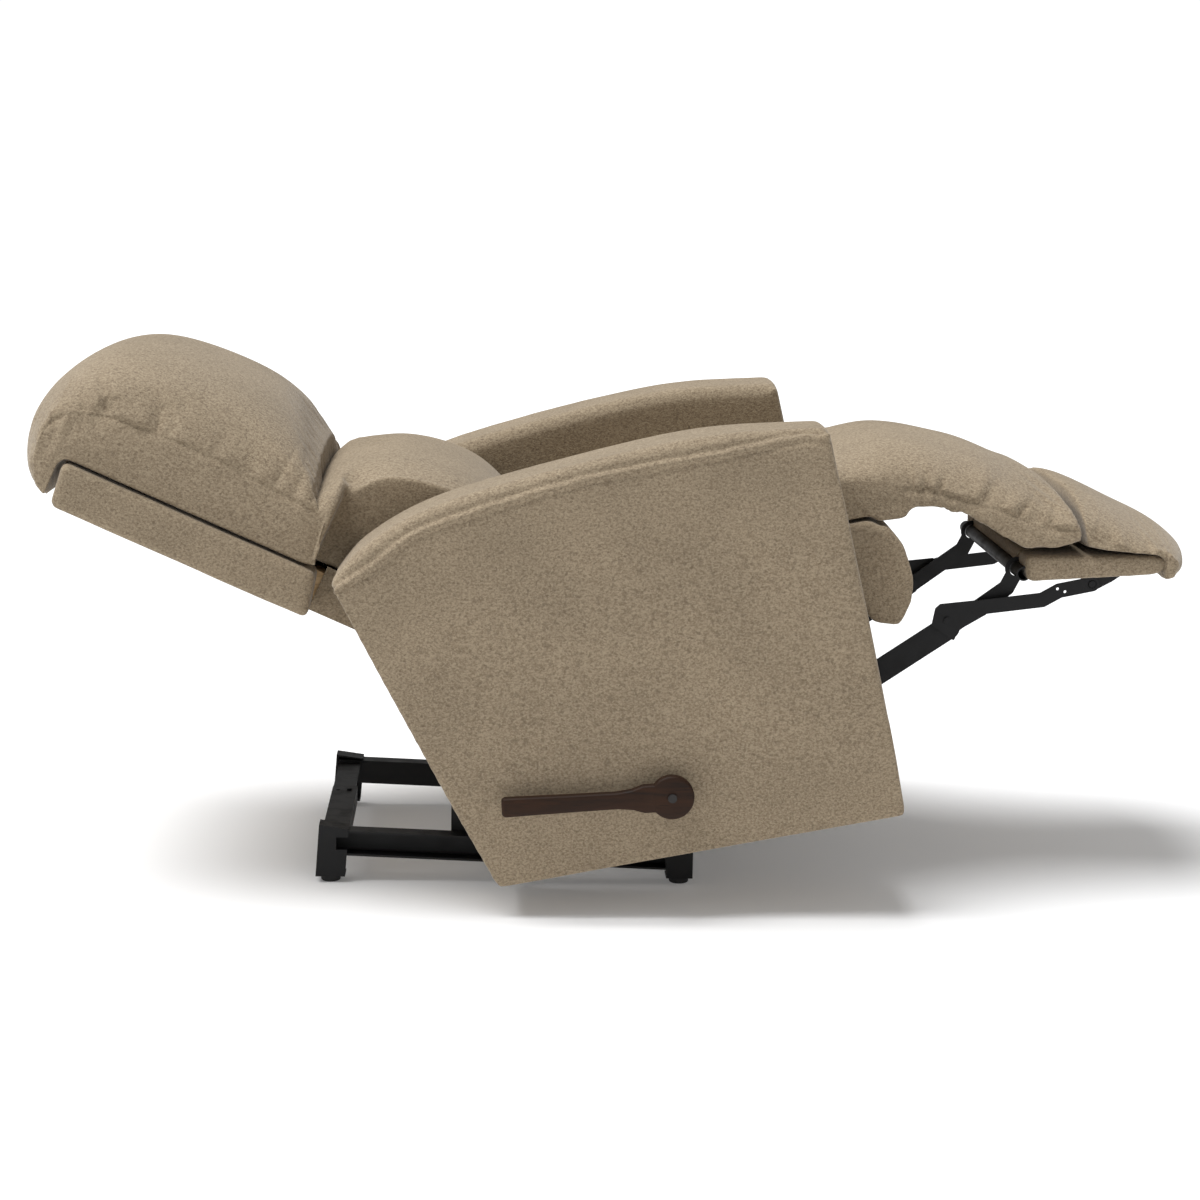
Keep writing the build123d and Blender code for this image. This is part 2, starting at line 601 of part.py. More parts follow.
def head_pillow():
    """Upper back pillow, which also wraps over the top of the back."""
    front = Spline((CREASE_B, CREASE_A), (174, 210), (202, 294), (203, 390), (187, 478),
                   (151, 534), (111, 565), (60, 588), (10, 596), (-33, 588))
    rear = Polyline((-33, 588), (-44, 560), (-42, 499), (18.5, 499), (18.5, CREASE_A),
                    (CREASE_B, CREASE_A))
    return upright(make_face(front + rear), -HEAD_HALF_WIDTH, HEAD_HALF_WIDTH)


# ---------- build ----------

def main():
    for side, s in SIDES:
        save(base_rail(s), f"base_rail_{side}")
        save(rear_post(s), f"rear_post_{side}")
        save(front_post(s), f"front_post_{side}")
        save(ramp_plate(s), f"ramp_plate_{side}")
        save(glide_shoe(s), f"glide_shoe_{side}")
        save(side_plate(s), f"side_plate_{side}", seat_place)
        save(arm_cover(s), f"arm_cover_{side}", seat_place)
        save(arm_frame(s), f"arm_frame_{side}", seat_place)
        save(front_carrier(s), f"front_carrier_{side}", seat_place)
        save(rear_carrier(s), f"rear_carrier_{side}", seat_place)
        save(lift_link(s), f"lift_link_{side}", seat_place)
        save(rear_link(s), f"rear_link_{side}", seat_place)
        save(back_post(s), f"back_post_{side}", back_place)
        save(back_wing(s), f"back_wing_{side}", back_place)
    save(rear_crossbar(), "rear_crossbar")
    save(front_crossbar(), "front_crossbar")
    save(floor_glides(), "floor_glides")
    save(base_bolts(), "base_bolts")
    save(stub_pins(), "stub_pins", seat_place)
    save(slot_rollers(), "slot_rollers", seat_place)
    save(back_pivot_bolts(), "back_pivot_bolts", seat_place)
    save(seat_side_rails(), "seat_side_rails", seat_place)
    save(seat_front_rail(), "seat_front_rail", seat_place)
    save(seat_rear_rail(), "seat_rear_rail", seat_place)
    save(seat_springs(), "seat_springs", seat_place)
    save(spring_clips(), "spring_clips", seat_place)
    save(seat_cushion(), "seat_cushion", seat_place)
    save(front_apron(), "front_apron", seat_place)
    save(lever(), "lever", seat_place)
    save(lever_hub(), "lever_hub", seat_place)
    save(lever_screw(), "lever_screw", seat_place)
    save(drive_shaft(), "drive_shaft", seat_place)
    save(drive_cranks(), "drive_cranks", seat_place)
    save(both(drive_link), "drive_links", seat_place)
    save(both(toe_bracket), "toe_brackets", seat_place)
    save(foot_board(), "foot_board", seat_place)
    save(cross_tube(), "cross_tube", seat_place)
    save(chaise_bridge(), "chaise_bridge", seat_place)
    save(chaise_pad(), "chaise_pad", seat_place)
    save(foot_pillow(), "foot_pillow", seat_place)
    save(back_rail(440, 480), "back_top_rail", back_place)
    save(back_rail(30, 70), "back_bottom_rail", back_place)
    save(outside_back(), "outside_back", back_place)
    save(back_springs(), "back_springs", back_place)
    save(lumbar_pillow(), "lumbar_pillow", back_place)
    save(head_pillow(), "head_pillow", back_place)


main()
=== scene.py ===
import json
import math

import bpy
import numpy as np
from mathutils import Matrix, Vector


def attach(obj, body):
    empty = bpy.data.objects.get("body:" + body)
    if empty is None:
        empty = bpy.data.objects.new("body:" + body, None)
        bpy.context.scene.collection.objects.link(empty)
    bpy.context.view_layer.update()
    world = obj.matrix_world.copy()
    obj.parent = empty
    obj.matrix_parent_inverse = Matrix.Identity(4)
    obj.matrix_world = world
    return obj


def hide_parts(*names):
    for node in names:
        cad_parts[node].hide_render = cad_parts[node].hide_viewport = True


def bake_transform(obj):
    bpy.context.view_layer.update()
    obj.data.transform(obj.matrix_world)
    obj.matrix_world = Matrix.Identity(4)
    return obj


# Reclining armchair, laid back with its leg rest out. Metres; X forward, Y to the sitter's left,
# Z up, origin on the floor under the steel base. Pad patterns are cut in millimetres in the seat
# frame (forward, up) or the back frame (out from the back, up the back) and then set in place.

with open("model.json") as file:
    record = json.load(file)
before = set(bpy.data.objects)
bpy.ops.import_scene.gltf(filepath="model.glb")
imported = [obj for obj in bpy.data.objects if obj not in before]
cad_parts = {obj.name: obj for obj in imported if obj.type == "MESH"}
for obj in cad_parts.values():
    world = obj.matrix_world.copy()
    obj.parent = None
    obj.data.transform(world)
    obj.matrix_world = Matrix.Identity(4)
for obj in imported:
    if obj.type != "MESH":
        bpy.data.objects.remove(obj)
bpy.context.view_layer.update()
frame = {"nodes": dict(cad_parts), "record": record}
scene = bpy.context.scene

SIDES = (("right", -1), ("left", 1))
MM = 0.001

# The seat frame on the base, and the back on the seat frame
SEAT_X, SEAT_Z, SEAT_TILT = -8.3, 45.2, 10.75
BACK_PIVOT_U, BACK_PIVOT_V, BACK_LEAN = -80.0, 370.0, 55.6

# Half widths across the chair
SEAT_HALF = 259.0
HEAD_HALF = 334.0
LUMBAR_HALF = 260.0
SHOULDER_HALF = 328.0
BOARD_HALF = 249.0
APRON_HALF = 268.6
ARM_INNER, ARM_OUTER = 270.0, 425.0
WING_MIDDLE, WING_HALF = 304.5, 40.3
WING_OUTER = 345.0
POST_SIDE = 263.4

# Slots in the foot board for the ends of the rear links: forward, up, across, radius
SLOT_U, SLOT_V, SLOT_Y, SLOT_RADIUS = 799.0, 265.0, 188.5, 37.0

# The lever: its shaft in the seat frame, the turn of its grip, and its place across the chair
LEVER_U, LEVER_V, LEVER_TURN, LEVER_Y = 251.0, 88.0, 173.3, -449.0

# Mesh sizes for the padded pieces, and the spacing of points along an outline
FINE, MEDIUM, COARSE = 0.0055, 0.0068, 0.0085
SPACING = 4.0

# Cloth filling
AIR_PRESSURE, FILL_FRAMES = 4.0, 20

# Studio: strengths of the light, and the camera
SKY, BACKDROP, LAMP = 0.4, 1.3, 3.9
LAMP_DIRECTION, LAMP_SPREAD = (0.38, 0.03, -1), 40
CAMERA_PLACE = (-0.0293, -4.0654, 1.0497)
CAMERA_TURN = (80.534, -0.947, -2.210)
CAMERA_LENS, CAMERA_SENSOR = 82.8, 36


def turned(x, z, degrees):
    """Frame at (x, z), nose-up by this many degrees, in millimetres."""
    c, s = math.cos(math.radians(degrees)), math.sin(math.radians(degrees))
    return Matrix(((c, 0, -s, x), (0, 1, 0, 0), (s, 0, c, z), (0, 0, 0, 1)))


SCALE = Matrix.Scale(MM, 4)
SEAT_PLACE = SCALE @ turned(SEAT_X, SEAT_Z, SEAT_TILT)
BACK_PLACE = SEAT_PLACE @ turned(BACK_PIVOT_U, BACK_PIVOT_V, BACK_LEAN)


# ---------- finishes ----------

class Value:
    """A number that varies over a surface; arithmetic on it adds Math nodes."""

    def __init__(self, finish, socket):
        self.finish, self.socket = finish, socket

    def _math(self, operation, first, second):
        return self.finish.node("ShaderNodeMath", {"operation": operation}, {0: first, 1: second})

    def __add__(self, other):
        return self._math("ADD", self, other)

    def __radd__(self, other):
        return self._math("ADD", other, self)

    def __sub__(self, other):
        return self._math("SUBTRACT", self, other)

    def __rsub__(self, other):
        return self._math("SUBTRACT", other, self)

    def __mul__(self, other):
        return self._math("MULTIPLY", self, other)

    def __rmul__(self, other):
        return self._math("MULTIPLY", other, self)


class Finish:
    """A material under construction: one Principled shader and the nodes that feed it."""

    def __init__(self, name, **constants):
        self.material = bpy.data.materials.new(name)
        self.material.use_nodes = True
        self.tree = self.material.node_tree
        self.tree.nodes.clear()
        self.shader = self.tree.nodes.new("ShaderNodeBsdfPrincipled")
        output = self.tree.nodes.new("ShaderNodeOutputMaterial")
        self.tree.links.new(self.shader.outputs[0], output.inputs[0])
        for socket, value in constants.items():
            self.shader.inputs[socket.replace("_", " ")].default_value = value

    def node(self, kind, settings=None, inputs=None, output=0):
        made = self.tree.nodes.new(kind)
        for key, value in (settings or {}).items():
            if key == "stops":
                ramp = made.color_ramp.elements
                while len(ramp) < len(value):
                    ramp.new(0.5)
                for element, (position, colour) in zip(ramp, value):
                    element.position = position
                    element.color = (*colour, 1)
            else:
                setattr(made, key, value)
        for socket, value in (inputs or {}).items():
            if isinstance(value, Value):
                self.tree.links.new(value.socket, made.inputs[socket])
            else:
                made.inputs[socket].default_value = value
        return Value(self, made.outputs[output])

    def blend_colour(self, share, first, second, mode="MIX"):
        settings = {"data_type": "RGBA", "blend_type": mode}
        return self.node("ShaderNodeMix", settings, {0: share, 6: first, 7: second}, 2)

    def feed(self, socket, value):
        self.tree.links.new(value.socket, self.shader.inputs[socket])

    def bump(self, height, strength, distance):
        inputs = {"Height": height, "Strength": strength, "Distance": distance}
        self.feed("Normal", self.node("ShaderNodeBump", {}, inputs))


def ramp(finish, value, *stops):
    return finish.node("ShaderNodeValToRGB", {"stops": stops}, {"Fac": value})


def chenille(name, dark, light, fleck, turn=0.0):
    """Nubbly two-tone tweed: short soft yarns with darker flecks between them."""
    f = Finish(name, Roughness=0.92, Sheen_Weight=0.22, Sheen_Roughness=0.45,
               Sheen_Tint=(0.93, 0.9, 0.86, 1), Specular_IOR_Level=0.15)
    place = f.node("ShaderNodeTexCoord", output="Object")
    along = f.node("ShaderNodeMapping", {}, {"Vector": place, "Rotation": (0, turn, 0),
                                             "Scale": (1, 1, 1.35)})
    yarn = f.node("ShaderNodeTexNoise", {}, {"Vector": along, "Scale": 290, "Detail": 3,
                                             "Roughness": 0.62, "Distortion": 0.6})
    nubs = f.node("ShaderNodeTexVoronoi", {}, {"Vector": along, "Scale": 380})
    flecks = f.node("ShaderNodeTexNoise", {}, {"Vector": place, "Scale": 215, "Detail": 3})
    cloudy = f.node("ShaderNodeTexNoise", {}, {"Vector": place, "Scale": 9, "Detail": 2})
    tone = ramp(f, yarn, (0.36, (0, 0, 0)), (0.64, (1, 1, 1)))
    colour = f.blend_colour(tone, dark, light)
    spots = ramp(f, flecks, (0.56, (0, 0, 0)), (0.68, (1, 1, 1)))
    colour = f.blend_colour(spots * 0.55, colour, fleck)
    shade = ramp(f, cloudy, (0.3, (0.93, 0.93, 0.93)), (0.7, (1.05, 1.05, 1.05)))
    colour = f.blend_colour(1.0, colour, shade, "MULTIPLY")
    f.feed("Base Color", colour)
    f.bump(yarn * 0.8 + (1 - nubs) * 0.5 - spots * 0.3, 0.55, 0.0012)
    return f.material


def powder_coat(name):
    """Black powder-coated steel, faintly pebbled, with dust in the flats."""
    f = Finish(name, Metallic=0.0, Specular_IOR_Level=0.28)
    place = f.node("ShaderNodeTexCoord", output="Object")
    pebble = f.node("ShaderNodeTexNoise", {}, {"Vector": place, "Scale": 900, "Detail": 2})
    wear = f.node("ShaderNodeTexNoise", {}, {"Vector": place, "Scale": 35, "Detail": 4})
    dust = ramp(f, wear, (0.45, (0, 0, 0)), (0.75, (1, 1, 1)))
    f.feed("Base Color", f.blend_colour(dust * 0.35, (0.006, 0.006, 0.0065, 1),
                                        (0.016, 0.0155, 0.015, 1)))
    f.feed("Roughness", dust * 0.15 + 0.52)
    f.bump(pebble, 0.25, 0.0004)
    return f.material


def bare_metal(name, colour, rough):
    """Plain or blackened steel with fine drawn lines."""
    f = Finish(name, Metallic=0.9)
    place = f.node("ShaderNodeTexCoord", output="Object")
    lines = f.node("ShaderNodeMapping", {}, {"Vector": place, "Scale": (1, 12, 1)})
    drawn = f.node("ShaderNodeTexNoise", {}, {"Vector": lines, "Scale": 160, "Detail": 3})
    brighter = tuple(min(1, 1.5 * c) for c in colour)
    f.feed("Base Color", f.blend_colour(drawn, (*colour, 1), (*brighter, 1)))
    f.feed("Roughness", drawn * 0.2 + rough)
    f.bump(drawn, 0.15, 0.0002)
    return f.material


def moulded(name, colour, rough):
    """Moulded plastic or rubber with a fine satin grain."""
    f = Finish(name, Specular_IOR_Level=0.4)
    place = f.node("ShaderNodeTexCoord", output="Object")
    grain = f.node("ShaderNodeTexNoise", {}, {"Vector": place, "Scale": 700, "Detail": 2})
    lighter = tuple(min(1, 1.35 * c + 0.004) for c in colour)
    f.feed("Base Color", f.blend_colour(grain, (*colour, 1), (*lighter, 1)))
    f.feed("Roughness", grain * 0.15 + rough)
    f.bump(grain, 0.2, 0.0003)
    return f.material


def wood(name, dark, light, rough, grain_turn, grain_scale):
    """Timber with long wandering grain and fine open pores."""
    f = Finish(name, Specular_IOR_Level=0.22)
    place = f.node("ShaderNodeTexCoord", output="Object")
    laid = f.node("ShaderNodeMapping", {}, {"Vector": place, "Rotation": grain_turn,
                                            "Scale": (1.2, 14, 14)})
    figure = f.node("ShaderNodeTexNoise", {}, {"Vector": laid, "Scale": grain_scale, "Detail": 5,
                                               "Roughness": 0.55, "Distortion": 0.8})
    pores = f.node("ShaderNodeTexNoise", {}, {"Vector": laid, "Scale": grain_scale * 9,
                                              "Detail": 2})
    band = ramp(f, figure, (0.32, dark), (0.5, tuple((a + b) / 2 for a, b in zip(dark, light))),
                (0.7, light))
    open_pores = ramp(f, pores, (0.58, (0, 0, 0)), (0.7, (1, 1, 1)))
    darkest = tuple(0.45 * c for c in dark)
    f.feed("Base Color", f.blend_colour(open_pores * 0.5, band, (*darkest, 1)))
    f.feed("Roughness", figure * 0.15 + rough)
    f.bump(figure - open_pores * 0.5, 0.2, 0.0004)
    return f.material


TAUPE_DARK, TAUPE_LIGHT = (0.208, 0.158, 0.104, 1), (0.352, 0.284, 0.196, 1)
FLECK = (0.14, 0.104, 0.070, 1)
tweed = chenille("taupe_tweed", TAUPE_DARK, TAUPE_LIGHT, FLECK)
tweed_back = chenille("taupe_tweed_back", TAUPE_DARK, TAUPE_LIGHT, FLECK, 0.9)
black_steel = powder_coat("black_powder_coat")
spring_steel = bare_metal("spring_steel", (0.32, 0.32, 0.33), 0.32)
dark_metal = bare_metal("blackened_screw", (0.035, 0.033, 0.032), 0.4)
glide_rubber = moulded("glide_rubber", (0.012, 0.012, 0.012), 0.62)
white_nylon = moulded("glide_nylon", (0.62, 0.61, 0.57), 0.45)
pine = wood("frame_pine", (0.42, 0.27, 0.13), (0.62, 0.44, 0.25), 0.6, (0, 0.19, 0), 3.0)
walnut = wood("lever_walnut", (0.011, 0.004, 0.0011), (0.034, 0.012, 0.0034), 0.5,
              (0, math.radians(180 - LEVER_TURN - SEAT_TILT), 0), 5.0)

NODE_FINISH = {"black_steel": black_steel, "plain_steel": spring_steel, "dark_metal": dark_metal,
               "rubber": glide_rubber, "nylon": white_nylon, "frame_wood": pine,
               "lever_wood": walnut, "upholstery": tweed}


def finish_cad_nodes():
    """Every carried-over node gets the finish of its material slot."""
    for part in frame["record"]["subparts"]:
        mesh = frame["nodes"][part["node"]].data
        mesh.materials.clear()
        mesh.materials.append(NODE_FINISH[part["material_slot"]])


# ---------- padding tools ----------

def ripple(x, wavelength, seed):
    """Smooth irregular wave between -1 and 1 along a length."""
    table = np.random.default_rng(seed).uniform(-1, 1, 997)
    t = np.asarray(x) / wavelength
    i = np.floor(t).astype(int)
    s = t - i
    s = s * s * (3 - 2 * s)
    return table[i % 997] * (1 - s) + table[(i + 1) % 997] * s


def step(x, low, high):
    """Smooth rise from 0 at low to 1 at high."""
    t = np.clip((x - low) / (high - low), 0, 1)
    return t * t * (3 - 2 * t)


def through(points, per=8):
    """Points on a smooth line through the given ones."""
    p = np.array(points, float)
    p = np.vstack([2 * p[0] - p[1], p, 2 * p[-1] - p[-2]])
    out = []
    for i in range(1, len(p) - 2):
        for t in np.arange(per) / per:
            a, b, c, d = p[i - 1], p[i], p[i + 1], p[i + 2]
            out.append(0.5 * (2 * b + (c - a) * t + (2 * a - 5 * b + 4 * c - d) * t * t
                              + (3 * b - a - 3 * c + d) * t ** 3))
    return np.array(out + [p[-2]])


def straight(points, per=8):
    """Points along the straight lines between the given ones."""
    p = np.array(points, float)
    out = [p[i] + (p[i + 1] - p[i]) * t for i in range(len(p) - 1) for t in np.arange(per) / per]
    return np.array(out + [p[-1]])


def pattern(curved, cut):
    """Middle and side outlines of a pad, from its curved run and its straight-cut run.

    Each row holds a point of the middle outline and its fellow on the side outline.
    """
    rows = np.vstack([through(curved)[:-1], straight(cut)[:-1]])
    return rows[:, :2], rows[:, 2:]


def even_loop(points, soften):
    """Closed outline with evenly spaced points and softened corners."""
    p = np.array(points, float)
    p = np.vstack([p, p[:1]])
    run = np.concatenate([[0], np.cumsum(np.linalg.norm(np.diff(p, axis=0), axis=1))])
    count = int(run[-1] / SPACING)
    at = np.arange(count) / count * run[-1]
    loop = np.stack([np.interp(at, run, p[:, k]) for k in range(p.shape[1])], 1)
    for _ in range(soften):
        loop = 0.25 * np.roll(loop, 1, 0) + 0.5 * loop + 0.25 * np.roll(loop, -1, 0)
    return loop


def outward(loop):
    """Outward normals of a closed outline."""
    along = np.roll(loop, -1, 0) - np.roll(loop, 1, 0)
    normal = np.stack([along[:, 1], -along[:, 0]], 1)
    normal /= np.linalg.norm(normal, axis=1)[:, None] + 1e-12
    x, z = loop[:, 0], loop[:, 1]
    area = 0.5 * np.sum(x * np.roll(z, -1) - np.roll(x, -1) * z)
    return normal if area > 0 else -normal


def skin(loops, stations):
    """Closed surface through outlines at places across the chair, in millimetres."""
    n = len(loops[0])
    verts = [(x, y, z) for loop, y in zip(loops, stations) for x, z in loop]
    faces = []
    for i in range(len(loops) - 1):
        for j in range(n):
            k = (j + 1) % n
            faces.append((i * n + j, i * n + k, (i + 1) * n + k, (i + 1) * n + j))
    faces.append(tuple(range(n - 1, -1, -1)))
    faces.append(tuple(range((len(loops) - 1) * n, len(loops) * n)))
    return verts, faces


def crowned_loops(middle, side, half, fullness, roundness, count=34):
    """Outlines that run from a side pattern at both ends to a fuller middle pattern."""
    turns = np.linspace(-math.pi / 2, math.pi / 2, count)
    share = (1 - np.abs(np.sin(turns)) ** fullness) ** (1 / roundness)
    return [side + (middle - side) * g for g in share], half * np.sin(turns)


def crowned(*pad):
    """Closed pad that is fullest across its middle."""
    return skin(*crowned_loops(*pad))


def boxed(outline, y0, y1, edge, soften):
    """Upholstered panel: an outline carried across the chair, its two sides rounded in.

    edge gives the rounding at the first and at the second side; it may depend on the normal.
    """
    loop = even_loop(outline, soften)
    normal = outward(loop)
    first, second = (e(normal) if callable(e) else np.full(len(loop), e) for e in edge)
    reach = max(first.max(), second.max())
    rows = reach * np.array([0, 0.02, 0.07, 0.15, 0.27, 0.42, 0.6, 0.8, 1.0])
    inner = np.linspace(y0 + reach, y1 - reach, max(4, int((y1 - y0 - 2 * reach) / 12)))
    stations = np.concatenate([y0 + rows[:-1], inner, y1 - rows[:-1][::-1]])

    def drawn_in(radius, distance):
        gap = np.clip(radius - distance, 0, None)
        return radius - np.sqrt(np.clip(radius ** 2 - gap ** 2, 0, None))

    loops = []
    for y in stations:
        inset = drawn_in(first, y - y0) + drawn_in(second, y1 - y)
        loops.append(loop - normal * inset[:, None])
    return skin(loops, stations)


def piece_from(name, parts, voxel):
    """One even closed mesh from overlapping closed shapes drawn in millimetres."""
    verts, faces = [], []
    for part_verts, part_faces in parts:
        start = len(verts)
        verts += [(x * MM, y * MM, z * MM) for x, y, z in part_verts]
        faces += [tuple(start + v for v in face) for face in part_faces]
    mesh = bpy.data.meshes.new(name)
    mesh.from_pydata(verts, [], faces)
    piece = bpy.data.objects.new(name, mesh)
    scene.collection.objects.link(piece)
    only(piece)
    bpy.ops.object.mode_set(mode="EDIT")
    bpy.ops.mesh.select_all(action="SELECT")
    bpy.ops.mesh.normals_make_consistent(inside=False)
    bpy.ops.object.mode_set(mode="OBJECT")
    even = piece.modifiers.new("even", "REMESH")
    even.mode, even.voxel_size = "VOXEL", voxel
    bpy.ops.object.modifier_apply(modifier="even")
    return piece


def only(piece):
    """Select this piece alone."""
    bpy.ops.object.select_all(action="DESELECT")
    piece.select_set(True)
    bpy.context.view_layer.objects.active = piece


def combine(piece, other, operation):
    """Add another shape to a piece, or cut it away, and use the other shape up."""
    both = piece.modifiers.new("combine", "BOOLEAN")
    both.object, both.operation, both.solver = other, operation, "EXACT"
    only(piece)
    bpy.ops.object.modifier_apply(modifier="combine")
    bpy.data.objects.remove(other)


def bore(piece, centre, radius, depth, sides):
    """Cut a round hole across the chair through a piece."""
    bpy.ops.object.select_all(action="DESELECT")
    bpy.ops.mesh.primitive_cylinder_add(vertices=sides, radius=radius, depth=depth,
                                        location=centre, rotation=(math.pi / 2, 0, 0))
    combine(piece, bpy.context.object, "DIFFERENCE")


def points_of(piece):
    co = np.zeros(len(piece.data.vertices) * 3)
    piece.data.vertices.foreach_get("co", co)
    return co.reshape(-1, 3)


def normals_of(piece):
    n = np.zeros(len(piece.data.vertices) * 3)
    piece.data.vertices.foreach_get("normal", n)
    return n.reshape(-1, 3)


def set_points(piece, co):
    piece.data.vertices.foreach_set("co", np.ascontiguousarray(co).ravel())
    piece.data.update()


def swell(piece, cap, held, shrink):
    """Fill a pad with air as cloth, let it settle, and limit how far it may move."""
    start = points_of(piece)
    free = 1 - held(start / MM)
    start = start - normals_of(piece) * (free * shrink * MM)[:, None]
    set_points(piece, start)
    group = piece.vertex_groups.new(name="held")
    for weight in (0.25, 0.5, 0.75, 1.0):
        chosen = np.flatnonzero(np.abs((1 - free) - weight) <= 0.125)
        group.add([int(i) for i in chosen], weight, "REPLACE")
    cloth = piece.modifiers.new("fill", "CLOTH")
    cloth.settings.quality = 4
    cloth.settings.mass = 0.3
    cloth.settings.use_pressure = True
    cloth.settings.uniform_pressure_force = AIR_PRESSURE
    cloth.settings.effector_weights.gravity = 0
    cloth.settings.vertex_group_mass = "held"
    cloth.settings.pin_stiffness = 2
    cloth.point_cache.frame_start, cloth.point_cache.frame_end = 1, FILL_FRAMES
    for number in range(1, FILL_FRAMES + 1):
        scene.frame_set(number)
    filled = piece.evaluated_get(bpy.context.evaluated_depsgraph_get())
    now = np.zeros(len(start) * 3)
    filled.data.vertices.foreach_get("co", now)
    move = now.reshape(-1, 3) - start
    size = np.linalg.norm(move, axis=1)
    limit = cap * MM
    kept = limit * np.tanh(size / limit) / (size + 1e-12)
    piece.modifiers.remove(cloth)
    piece.vertex_groups.clear()
    scene.frame_set(1)
    set_points(piece, start + move * (kept * free)[:, None])


def subdivide(piece):
    only(piece)
    finer = piece.modifiers.new("finer", "SUBSURF")
    finer.levels = finer.render_levels = 1
    bpy.ops.object.modifier_apply(modifier="finer")


def near(co, line, spacing=4.0):
    """How far each point is from a line laid on the surface, and how far along the line."""
    line = np.array(line, float)
    run = np.concatenate([[0], np.cumsum(np.linalg.norm(np.diff(line, axis=0), axis=1))])
    at = np.linspace(0, run[-1], max(2, int(run[-1] / spacing)))
    samples = np.stack([np.interp(at, run, line[:, k]) for k in range(3)], 1)
    samples = np.array([co[np.abs(co - p).sum(1).argmin()] for p in samples])
    for _ in range(3):
        samples[1:-1] = (samples[:-2] + samples[1:-1] + samples[2:]) / 3
    distance, along = np.empty(len(co)), np.empty(len(co))
    for i in range(0, len(co), 6000):
        block = co[i:i + 6000]
        gaps = np.linalg.norm(block[:, None] - samples[None], axis=2)
        nearest = gaps.argmin(1)
        distance[i:i + 6000] = gaps.min(1)
        along[i:i + 6000] = at[nearest]
    return distance, along, run[-1]


def sew(piece, line, depth=2.2, width=3.4):
    """Pull a narrow sewn groove into a pad along a line."""
    co = points_of(piece) / MM
    distance, _, _ = near(co, line)
    push = -depth * np.exp(-(distance / width) ** 2)
    set_points(piece, (co + normals_of(piece) * push[:, None]) * MM)


def gather(piece, line, above, height, reach, wavelength, seed, bias=np.ones_like):
    """Irregular folds that start at a seam and run away from it on its fuller side."""
    co = points_of(piece) / MM
    distance, along, total = near(co, line)
    side = above(co)
    wander = along + 0.35 * distance * ripple(along, 90, seed + 1)
    folds = np.abs(ripple(wander, wavelength, seed)) ** 0.7
    long_folds = reach * (0.75 + 0.6 * ripple(along, 60, seed + 2))
    fade = np.exp(-(distance / np.clip(long_folds, 8, None)) ** 1.3) * step(distance, 1, 6)
    ends = step(along, 0, 14) * step(total - along, 0, 14)
    push = height * bias(along / total) * (folds - 0.5) * fade * ends * side
    set_points(piece, (co + normals_of(piece) * push[:, None]) * MM)


def settle(piece, amount, wavelength, seed, where=lambda co: 1.0):
    """Slight unevenness of stuffing under the cover."""
    co = points_of(piece) / MM
    lumps = (ripple(co[:, 0] + 0.4 * co[:, 1], wavelength, seed)
             + ripple(co[:, 1] - 0.3 * co[:, 2], wavelength * 1.2, seed + 1)
             + ripple(co[:, 2] + 0.5 * co[:, 0], wavelength * 0.9, seed + 2)) / 3
    push = amount * where(co) * lumps
    set_points(piece, (co + normals_of(piece) * push[:, None]) * MM)


def cover(piece, place, body, nodes, finish, other=None):
    """Set a finished pad in its place, dress it in its fabric and hang it on its body; when other
    is given, the place is baked in and the pad hangs on no body.
    """
    set_points(piece, points_of(piece) / MM)
    piece.data.transform(place)
    piece.data.materials.clear()
    piece.data.materials.append(finish)
    only(piece)
    bpy.ops.object.shade_smooth()
    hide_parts(*nodes)
    if other:
        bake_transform(piece)
    else:
        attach(piece, body)


# ---------- back ----------

